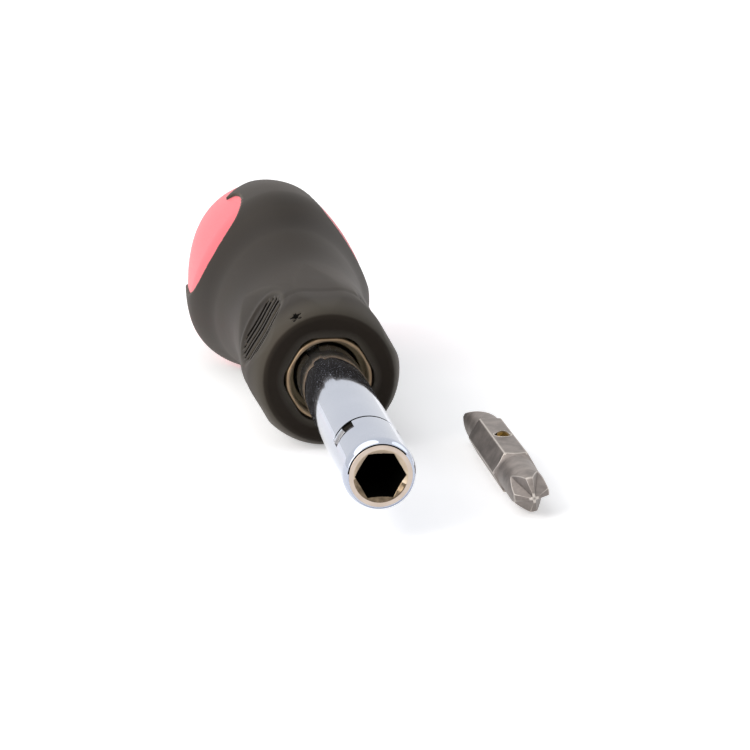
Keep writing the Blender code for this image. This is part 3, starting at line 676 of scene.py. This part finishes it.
def ring_tree():
    """Geometry nodes of a split ring: an arc swept by a section with rounded corners."""
    tree = bpy.data.node_groups.new("split_ring", "GeometryNodeTree")
    for name in ("Radius", "Gap Middle", "Gap Angle", "Thickness", "Width", "Corner"):
        tree.interface.new_socket(name, in_out="INPUT", socket_type="NodeSocketFloat")
    tree.interface.new_socket("Steel", in_out="INPUT", socket_type="NodeSocketMaterial")
    tree.interface.new_socket("Ring", in_out="OUTPUT", socket_type="NodeSocketGeometry")
    given = node(tree, "NodeGroupInput").outputs
    half = node(tree, "ShaderNodeMath", {0: given["Gap Angle"], 1: 2.0}, operation="DIVIDE")
    start = node(tree, "ShaderNodeMath", {0: given["Gap Middle"], 1: half.outputs[0]}, operation="ADD")
    sweep = node(tree, "ShaderNodeMath", {0: math.tau, 1: given["Gap Angle"]}, operation="SUBTRACT")
    arc = node(tree, "GeometryNodeCurveArc", {
        "Resolution": 120, "Radius": given["Radius"],
        "Start Angle": start.outputs[0], "Sweep Angle": sweep.outputs[0]})
    section = node(tree, "GeometryNodeCurvePrimitiveQuadrilateral", {
        "Width": given["Thickness"], "Height": given["Width"]})
    rounded = node(tree, "GeometryNodeFilletCurve", {
        "Curve": section.outputs[0], "Radius": given["Corner"], "Count": 5}, mode="POLY")
    swept = node(tree, "GeometryNodeCurveToMesh", {
        "Curve": arc.outputs[0], "Profile Curve": rounded.outputs[0], "Fill Caps": True})
    whole = node(tree, "GeometryNodeRealizeInstances", {0: swept.outputs[0]})
    steel = node(tree, "GeometryNodeSetMaterial", {
        "Geometry": whole.outputs[0], "Material": given["Steel"]})
    node(tree, "NodeGroupOutput", {0: steel.outputs[0]})
    return tree


def grow(name, tree, place, **sizes):
    """Bake a geometry node tree with these sizes into a mesh at a place."""
    seed = bpy.data.objects.new(name + "_seed", bpy.data.meshes.new(name + "_seed"))
    bpy.context.scene.collection.objects.link(seed)
    modifier = seed.modifiers.new(name, "NODES")
    modifier.node_group = tree
    for item in tree.interface.items_tree:
        if item.in_out == "INPUT":
            modifier[item.identifier] = sizes[item.name.lower().replace(" ", "_")]
    evaluated = seed.evaluated_get(bpy.context.evaluated_depsgraph_get())
    mesh = bpy.data.meshes.new_from_object(evaluated)
    bpy.data.objects.remove(seed)
    mesh.transform(place)
    work = bmesh.new()
    work.from_mesh(mesh)
    bmesh.ops.remove_doubles(work, verts=work.verts, dist=1e-7)
    bmesh.ops.recalc_face_normals(work, faces=work.faces)
    work.to_mesh(mesh)
    work.free()
    mesh.shade_smooth()
    mesh.set_sharp_from_angle(angle=math.radians(40))
    made = bpy.data.objects.new(name, mesh)
    bpy.context.scene.collection.objects.link(made)
    return made


def across_axis(along):
    """Place whose X and Y span the driver's cross-section at a distance along its axis."""
    turn = Matrix((Vector((1, 0, 0)), upward, -rearward)).transposed()
    return Matrix.Translation(rim_centre + rearward * along) @ turn.to_4x4()


# Hard-drawn spring wire, oil blackened: dark grey with a soft streaky shine from the die.
spring_steel = plated("dark_spring_steel", "#4a4a4c", "#6d6c6b", 0.25, 0.45, 900.0)
split_ring = ring_tree()
snap_ring = grow(
    "wire_snap_ring", split_ring, across_axis(snap_ring_at), radius=snap_ring_radius,
    gap_middle=math.radians(90), gap_angle=math.radians(snap_ring_open), thickness=snap_ring_wire,
    width=snap_ring_wire, corner=snap_ring_wire * 0.49, steel=spring_steel)
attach(snap_ring, "handle")
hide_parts("barrel_snap_ring")
for name, along in (("bit_ring_front", bit_ring_at), ("bit_ring_back", barrel_length - bit_ring_at)):
    band = grow(
        name + "_band", split_ring, across_axis(along), radius=bit_ring_radius,
        gap_middle=math.radians(270), gap_angle=math.radians(bit_ring_open),
        thickness=bit_ring_thickness, width=bit_ring_width, corner=bit_ring_corner, steel=spring_steel)
    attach(band, "barrel")
    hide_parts(name)


# Barrel. A chrome-plated tube with the same hexagon socket at both ends. Three cross slots
# behind each rim hold the band that clips the bit, one of them opens into a turned line,
# and two ears at the tube's middle stop it in the sleeve.

barrel_radius = 5.35 * MM
rim_face_radius = 4.62 * MM
rim_line_radius = 4.84 * MM
rim_line_depth = 0.16 * MM
rim_round_length = 1.7 * MM
rim_corner = 0.14 * MM
socket_flats = 6.5 * MM
socket_corner = 3.85 * MM
socket_depth = 27.0 * MM
socket_end_taper = 1 * MM
socket_stops = 8 * MM, 3 * MM
countersink_radius = 3.94 * MM
countersink_depth = 0.5 * MM
middle_bore_radius = 3.3 * MM
line_groove_at = 12.05 * MM
line_groove_width = 0.5 * MM
line_groove_depth = 0.4 * MM
line_deepest = 105.0
line_fades = 22.0, 60.0
slot_front, slot_middle, slot_back = 9.0 * MM, 10.95 * MM, 11.07 * MM
slot_low, slot_high = 118.0, 162.0
slot_spacing = 120.0
notch_high = 137.0
slot_depth = 0.78 * MM
band_proud = 0.3 * MM
ear_height = 0.58 * MM
ear_half_width = 1.1 * MM
ear_half_length = 2.0 * MM
ear_side_slope = 0.35 * MM
ear_end_slope = 0.5 * MM
ear_margin = 0.1 * MM
ear_rows = 14
wall_step = 0.03 * MM
wall_turn = 0.3
edge_step = 0.02 * MM
rim_steps = 8
cone_steps = 10
tube_end = 30 * MM
tube_rows = 40
wall_middle = 4.2 * MM
# Azimuths where the rim line is painted dark as a painted reflection.
painted_dark_arc = 40.0, 175.0
# Azimuths where the countersink is painted dark as a painted reflection.
polished_reflection_arc = 185.0, 340.0


def step_pairs(edges, width):
    """Two close values at each edge, so that a wall stands up steeply."""
    return [edge + side * width for edge in edges for side in (-0.5, 0.5)]


def slot_depths(along, azimuth):
    """Depth of one end's slots: the band is a step in their rear wall, and one has a notch."""
    cut = np.zeros_like(azimuth)
    for step in range(3):
        turn = (azimuth + step * slot_spacing) % 360
        across = (turn > slot_low) & (turn < slot_high)
        deep = (along > slot_front) & (along < slot_middle)
        shallow = (along >= slot_middle) & (along < slot_back)
        cut = np.maximum(cut, across * (deep * slot_depth + shallow * (slot_depth - band_proud)))
        if step == 0:
            notch = (turn > slot_low) & (turn < notch_high)
            notch = notch & (along >= slot_middle) & (along < line_groove_at)
            cut = np.maximum(cut, notch * slot_depth)
    return cut


def barrel_side(along, azimuth):
    """Radius of the barrel's outside between its rims."""
    at_back = along > barrel_length / 2
    near = barrel_length - along if at_back else along
    turn = (180 - azimuth) % 360 if at_back else azimuth
    depth = slot_depths(near, turn)
    if abs(near - line_groove_at) < line_groove_width / 2:
        away = np.abs((turn - line_deepest + 180) % 360 - 180)
        depth = np.maximum(depth, line_groove_depth * (1 - smooth_step(away, *line_fades)))
    ear = np.zeros_like(azimuth)
    for centre in ear_azimuths:
        sideways = np.abs(np.radians((azimuth - centre + 180) % 360 - 180)) * barrel_radius
        lift = 1 - smooth_step(sideways, ear_half_width - ear_side_slope, ear_half_width)
        from_middle = abs(along - barrel_length / 2)
        reach = 1 - smooth_step(from_middle, ear_half_length - ear_end_slope, ear_half_length)
        ear = np.maximum(ear, lift * reach)
    return barrel_radius - depth + ear * ear_height


def barrel_mesh():
    edges = [(edge + turn) % 360 for edge in (slot_low, slot_high, notch_high)
             for turn in (0, slot_spacing, -slot_spacing)]
    edges += [(180 - edge) % 360 for edge in edges]
    azimuths = np.unique(np.round(np.concatenate([
        np.linspace(0, 360, 360, endpoint=False), step_pairs(edges, wall_turn)]) % 360, 4))
    hexagon = socket_flats / 2 / np.cos(np.radians(azimuths % 60 - 30))
    ones = np.ones(len(azimuths))
    along = [socket_depth, *socket_stops]
    rings = [hexagon] * len(along)
    slope = (countersink_radius - socket_flats / 2) / countersink_depth
    for depth in np.linspace(countersink_depth, wall_step, cone_steps):
        rings.append(np.maximum(hexagon, countersink_radius - depth * slope))
        along.append(depth)
    face = (countersink_radius + 2 * edge_step, rim_face_radius - edge_step, rim_face_radius,
            rim_face_radius + edge_step, rim_line_radius - edge_step)
    rings += [ones * radius for radius in face]
    along += [0.0, 0.0, edge_step, rim_line_depth, rim_line_depth]
    for lean in np.radians(np.linspace(0, 80, rim_steps)):
        rings.append(ones * (rim_line_radius + rim_corner * math.sin(lean)))
        along.append(edge_step + rim_corner * (1 - math.cos(lean)))
    taper = barrel_radius - rim_line_radius - rim_corner
    for share in np.linspace(0, 1, rim_steps + 1)[1:]:
        rings.append(ones * (barrel_radius - taper * (1 - share) ** 2))
        along.append(rim_corner + (rim_round_length - rim_corner) * share)
    rim_rows = len(rings)
    groove = (line_groove_at - line_groove_width / 2, line_groove_at + line_groove_width / 2)
    stops = step_pairs([slot_front, slot_middle, slot_back, *groove], wall_step)
    ears = np.linspace(barrel_length / 2 - ear_half_length - ear_margin, barrel_length / 2, ear_rows)
    half = sorted(stops + np.linspace(rim_round_length, tube_end, tube_rows)[1:].tolist() + ears.tolist())
    for place in half + [barrel_length - place for place in half[::-1]]:
        rings.append(barrel_side(place, azimuths))
        along.append(place)
    # The rear end is the front one turned end for end.
    opposite = np.array([
        np.argmin(np.abs((azimuths - (180 - turn) + 180) % 360 - 180)) for turn in azimuths])
    for row in range(rim_rows - 1, -1, -1):
        rings.append(rings[row][opposite])
        along.append(barrel_length - along[row])
    rings += [ones * middle_bore_radius, ones * middle_bore_radius]
    along += [barrel_length - socket_depth - socket_end_taper, socket_depth + socket_end_taper]
    return wrap("chrome_barrel", along, np.array(rings), azimuths, looped=True)


# Bright chromium over polished nickel: cool white with a mirror's sharp reflections, dulled
# only by specks of dust about 0.2 mm wide that show where it mirrors something dark.
chrome, tree = blank_material("bright_chrome_plate")
where = node(tree, "ShaderNodeTexCoord")
smear = node(tree, "ShaderNodeTexNoise", {"Vector": where.outputs["Object"], "Scale": 140.0, "Detail": 5.0})
tone = node(tree, "ShaderNodeMix", {"Factor": smear.outputs[0], 6: colour("#b4bac8"), 7: colour("#c2c7d4")},
            data_type="RGBA")
dust = node(tree, "ShaderNodeTexNoise", {
    "Vector": where.outputs["Object"], "Scale": 5200.0, "Detail": 1.0})
speck = node(tree, "ShaderNodeMapRange", {0: dust.outputs[0], 1: 0.63, 2: 0.73, 3: 0.05, 4: 0.34})
shader = node(tree, "ShaderNodeBsdfPrincipled", {
    "Base Color": tone.outputs[2], "Roughness": speck.outputs[0], "Metallic": 0.97})
node(tree, "ShaderNodeOutputMaterial", {0: shader.outputs[0]})

# Where the wheel doesn't reach, the nickel shows: a warm, slightly rough rim face and
# countersink, whose lower half the bits have polished, painted dark with pale patches as a
# painted reflection. The socket, the slots and the turned line are bare steel painted dark as
# painted shade, the rim line's upper arc is painted dark as a painted reflection, and the
# band's edge in each slot is painted white as a painted highlight.
rim_nickel = plated("rim_nickel", "#b5a496", "#d4c7bc", 0.22, 0.38, 500.0)
cone_nickel = plated("countersink_nickel", "#a8937c", "#dccdb8", 0.30, 0.55, 900.0)
cone_dark_reflection = plated("countersink_worn", "#0c0805", "#a08c74", 0.05, 0.14, 1400.0)
slot_highlight_steel = plated("slot_wall_bright", "#e8e8ec", "#ffffff", 0.30, 0.45, 900.0, metal=0.2)
slot_shade_steel = plated("slot_dark_steel", "#5c5b60", "#7d7c82", 0.35, 0.50, 1500.0, metal=0.5)
shade_and_reflection_steel = plated("socket_oily_steel", "#171614", "#24221f", 0.45, 0.60, 400.0)

barrel = barrel_mesh()
for surface in (chrome, rim_nickel, cone_nickel, slot_shade_steel, shade_and_reflection_steel, cone_dark_reflection, slot_highlight_steel):
    barrel.data.materials.append(surface)


def plate_ends(surface, chosen):
    """Finish the faces that a rule chooses by depth behind the nearer rim, radius and azimuth."""
    paint(barrel, barrel.data.materials.find(surface.name), lambda along, radius, azimuth: chosen(
        np.minimum(along, barrel_length - along), radius, azimuth))


def in_cone(depth, radius):
    return (depth < countersink_depth) & (radius < countersink_radius)


def between(value, limits):
    return (value > limits[0]) & (value < limits[1])


def beside_slot(azimuth):
    """How far each azimuth is from the middle of the nearest slot."""
    middle = (slot_low + slot_high) / 2 % slot_spacing
    return np.abs((azimuth + slot_spacing / 2) % slot_spacing - middle - slot_spacing / 2)


groove_half = line_groove_width / 2
groove_margin = 0.04 * MM
rim_margin = 0.01 * MM
rim_groove = rim_face_radius - rim_margin, rim_line_radius - rim_margin
slot_span = slot_front - wall_step, line_groove_at - groove_half - wall_step
band_span = slot_middle + wall_step, slot_back + wall_step
band_edge = barrel_radius - slot_depth + band_proud - wall_step, barrel_radius - wall_step
plate_ends(rim_nickel, lambda depth, radius, azimuth: (depth < paint_margin) & (radius < rim_face_radius))
plate_ends(cone_nickel, lambda depth, radius, azimuth: in_cone(depth, radius))
# The countersink's lower half, painted dark: a painted reflection.
plate_ends(cone_dark_reflection, lambda depth, radius, azimuth: in_cone(depth, radius) & between(azimuth, polished_reflection_arc))
# The rim line's upper arc, painted dark: a painted reflection.
plate_ends(shade_and_reflection_steel, lambda depth, radius, azimuth: (
    (depth < rim_line_depth + groove_margin) & between(radius, rim_groove) & between(azimuth, painted_dark_arc)))
# The slots' floors and front walls, painted grey: painted shade.
plate_ends(slot_shade_steel, lambda depth, radius, azimuth: (
    between(depth, slot_span) & between(radius, (wall_middle, barrel_radius - paint_margin))))
# The band's edge in each slot, painted white: a painted highlight.
plate_ends(slot_highlight_steel, lambda depth, radius, azimuth: (
    between(depth, band_span) & between(radius, band_edge)
    & (beside_slot(azimuth) < (slot_high - slot_low) / 2)))
# The socket and the turned line, painted dark: painted shade.
plate_ends(shade_and_reflection_steel, lambda depth, radius, azimuth: (depth > countersink_depth) & (radius < socket_corner))
plate_ends(shade_and_reflection_steel, lambda depth, radius, azimuth: (
    (np.abs(depth - line_groove_at) < groove_half + wall_step)
    & between(radius, (wall_middle, barrel_radius - groove_margin))))
barrel.data.set_sharp_from_angle(angle=math.radians(32))
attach(barrel, "barrel")
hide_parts("barrel")


# Bits. Quarter inch hexagon bars of tool steel with a cross point at one end and a flat
# blade at the other, milled and ground, then hardened and blasted to a satin grey.

bit_flats = 6.35 * MM
bit_hex_length = 23.0 * MM
bit_recess = 0.8 * MM
shank_radius = 2.95 * MM
cross_length = 14.8 * MM
cross_web_radius = 0.3 * MM
cross_flute_length = 6.4 * MM
flute_run_out = 0.6 * MM
cross_flute_opening = 110.0
cross_turn = 9.0
blade_length = 9.5 * MM
blade_wedge_length = 4.5 * MM
blade_half_thickness = 0.38 * MM
blade_radius = 3.15 * MM
blade_turn = -28.0
blade_edge = 0.05 * MM
pocket_radius = 1.25 * MM
pocket_depth = 1.3 * MM
pocket_wall = 0.05 * MM, 0.04 * MM
pocket_lip = 0.12 * MM
lip_ring, lip_width = 0.2 * MM, 0.14 * MM
bit_corner = 3.62 * MM
bit_edge = 0.06 * MM
sharp_edge = 0.009 * MM
edge_band = 2.2
bit_turn = -2.6
bit_turns = np.linspace(0, 360, 360, endpoint=False)
# Rows lie close together at both necks, where the hexagon ends, and round the ball's pocket.
cross_neck = 1.2 * MM, 0.8 * MM
blade_neck = 0.6 * MM, 0.8 * MM
pocket_reach = 1.6 * MM
bit_rows = 70, 22, 26, 14, 44, 12, 18, 40
least_share = 0.02


def bit_envelope(along):
    """Turned outline of the bit, from the cross point's tip to the blade's end."""
    half = bit_hex_length / 2
    corner = bit_flats / 2 / math.cos(math.radians(30)) + 0.15 * MM
    tip, end = -half - cross_length, half + blade_length
    knots = [
        (tip, 0.35 * MM), (tip + 0.12 * MM, 0.65 * MM), (tip + 2.1 * MM, 2.62 * MM),
        (tip + 2.3 * MM, 2.72 * MM), (tip + 6.0 * MM, shank_radius),
        (-half - 1.1 * MM, shank_radius - 0.04 * MM), (-half - 0.6 * MM, shank_radius),
        (-half - 0.25 * MM, shank_radius + 0.12 * MM), (-half + 0.05 * MM, shank_radius + 0.38 * MM),
        (-half + 0.4 * MM, corner), (half - 0.4 * MM, corner),
        (half, shank_radius + 0.2 * MM), (half + 0.4 * MM, shank_radius - 0.08 * MM),
        (half + 1.4 * MM, shank_radius - 0.15 * MM), (end - blade_wedge_length, shank_radius - 0.1 * MM),
        (end, blade_radius),
    ]
    return np.interp(along, [knot[0] for knot in knots], [knot[1] for knot in knots])


def bit_mesh(name, place):
    half = bit_hex_length / 2
    tip, end = -half - cross_length, half + blade_length
    flute_end = tip + cross_flute_length + flute_run_out
    stops = (tip, flute_end, -half - cross_neck[0], -half + cross_neck[1], -pocket_reach, pocket_reach,
             half - blade_neck[0], half + blade_neck[1], end)
    along = np.unique(np.concatenate([
        np.linspace(start, stop, rows) for start, stop, rows in zip(stops, stops[1:], bit_rows)]))
    station, azimuth = np.meshgrid(along, bit_turns, indexing="ij")
    radius = bit_envelope(station)
    radius = soft_min(radius, bit_flats / 2 / np.cos(np.radians(azimuth % 60 - 30)), bit_edge)
    radius = soft_min(radius, bit_corner, bit_edge)
    apex = np.interp(station, [tip, tip + cross_flute_length, flute_end],
                     [cross_web_radius, shank_radius, shank_radius * 1.6])
    spread = 1 / math.tan(math.radians(cross_flute_opening / 2))
    for quarter in range(4):
        turn = np.radians((azimuth - cross_turn - 45 - 90 * quarter + 180) % 360 - 180)
        open_side = np.cos(turn) - np.abs(np.sin(turn)) * spread
        flute = np.where(open_side > least_share, apex / np.maximum(open_side, least_share), 1.0)
        radius = soft_min(radius, flute, bit_edge)
    wedge = np.interp(station, [end - blade_wedge_length, end], [shank_radius, blade_half_thickness])
    side = np.abs(np.sin(np.radians(azimuth - blade_turn)))
    ground = soft_min(radius, wedge / np.maximum(side, least_share), blade_edge)
    radius = np.where(station > end - blade_wedge_length, ground, radius)
    reach = np.hypot(radius * np.cos(np.radians(azimuth)), station)
    on_top = (azimuth > 45) & (azimuth < 135)
    wall = pocket_radius - pocket_wall[0], pocket_radius + pocket_wall[1]
    dimple = (1 - smooth_step(reach, *wall)) * on_top
    staked = np.exp(-((reach - pocket_radius - lip_ring) / lip_width) ** 2) * on_top
    radius = radius - dimple * pocket_depth + staked * pocket_lip * (1 - dimple)
    rings = [radius[0] * 0.05, *radius, radius[-1] * 0.5, radius[-1] * 0.02]
    stations = [along[0], *along, along[-1], along[-1]]
    made = wrap(name, stations, np.array(rings), bit_turns, place=place)
    rubbed = np.exp(-(((azimuth + 30) % 60 - 30) / edge_band) ** 2) * (np.abs(station) < half)
    mark_edges(made, sharp_edge, np.vstack([rubbed[:1], rubbed, rubbed[-1:], rubbed[-1:]]).ravel())
    return made


# Hardened tool steel, grit blasted and handled: brown-grey with darker stains a few
# millimetres wide and a 0.2 mm grain, rubbed bright along every edge.
tool_steel, tree = blank_material("blasted_tool_steel")
where = node(tree, "ShaderNodeTexCoord")
stain = node(tree, "ShaderNodeTexNoise", {
    "Vector": where.outputs["Object"], "Scale": 420.0, "Detail": 6.0, "Roughness": 0.65})
blast = node(tree, "ShaderNodeTexNoise", {
    "Vector": where.outputs["Object"], "Scale": 5000.0, "Detail": 2.0})
patch = node(tree, "ShaderNodeMapRange", {0: stain.outputs[0], 1: 0.38, 2: 0.64})
tone = node(tree, "ShaderNodeMix", {"Factor": patch.outputs[0], 6: colour("#7b7470"), 7: colour("#938b86")},
            data_type="RGBA")
wear = node(tree, "ShaderNodeAttribute", attribute_name="edge_wear")
rubbed = node(tree, "ShaderNodeMix", {
    "Factor": wear.outputs["Fac"], 6: tone.outputs[2], 7: colour("#c6bfb8")}, data_type="RGBA")
rough = node(tree, "ShaderNodeMapRange", {0: stain.outputs[0], 3: 0.44, 4: 0.62})
relief = node(tree, "ShaderNodeBump", {"Height": blast.outputs[0], "Strength": 0.25, "Distance": 0.03 * MM})
shader = node(tree, "ShaderNodeBsdfPrincipled", {
    "Base Color": rubbed.outputs[2], "Roughness": rough.outputs[0], "Metallic": 1.0,
    "Normal": relief.outputs[0]})
node(tree, "ShaderNodeOutputMaterial", {0: shader.outputs[0]})


ball_low, ball_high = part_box("loose_bit_ball")
loose_centre = Vector(((ball_low[0] + ball_high[0]) / 2, (ball_low[1] + ball_high[1]) / 2, bit_flats / 2))
loose_place = (Matrix.Rotation(math.radians(bit_turn), 3, "Z"), loose_centre)
loose_bit = bit_mesh("loose_steel_bit", loose_place)
loose_bit.data.materials.append(tool_steel)
loose_bit.data.set_sharp_from_angle(angle=math.radians(35))
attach(loose_bit, "loose_bit")
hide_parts("loose_bit")

stored_middle = rim_centre + rearward * (barrel_length - bit_recess - bit_hex_length / 2)
stored_place = (driver_basis @ Matrix.Rotation(math.pi, 3, "Z"), stored_middle)
stored_bit = bit_mesh("stored_steel_bit", stored_place)
stored_bit.data.materials.append(tool_steel)
stored_bit.data.set_sharp_from_angle(angle=math.radians(35))
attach(stored_bit, "barrel")
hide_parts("stored_bit")


# Detent balls and springs. A polished ball stands a little proud of the hexagon's top
# and sinks against a small coil spring when the bit is pushed in. The spring's solid has
# its real coils, so it keeps its mesh.

ball_radius = 1.45 * MM
ball_proud = 0.72 * MM
ball_rise = np.radians(np.linspace(-88, 88, 45))
ball_turns = np.linspace(0, 360, 64, endpoint=False)

# Polished bearing steel painted a dark straw brown, a painted reflection of dark surroundings: small, round,
# sharp lights.
ball_dark_reflection = plated("straw_ball_steel", "#33260f", "#6b5226", 0.05, 0.10, 900.0)
for name, body, (basis, origin) in (
        ("loose_bit_ball", "detent_ball", loose_place), ("stored_bit_ball", "barrel", stored_place)):
    lift = basis @ Vector((0, 0, bit_flats / 2 + ball_proud - ball_radius))
    ball = wrap(
        name + "_dome", ball_radius * np.sin(ball_rise), ball_radius * np.cos(ball_rise)[:, None],
        ball_turns, place=(basis, origin + lift))
    ball.data.materials.append(ball_dark_reflection)
    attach(ball, body)
    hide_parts(name)
for name in ("loose_bit_spring", "stored_bit_spring"):
    spring = frame["nodes"][name]
    spring.data.materials.clear()
    spring.data.materials.append(spring_steel)
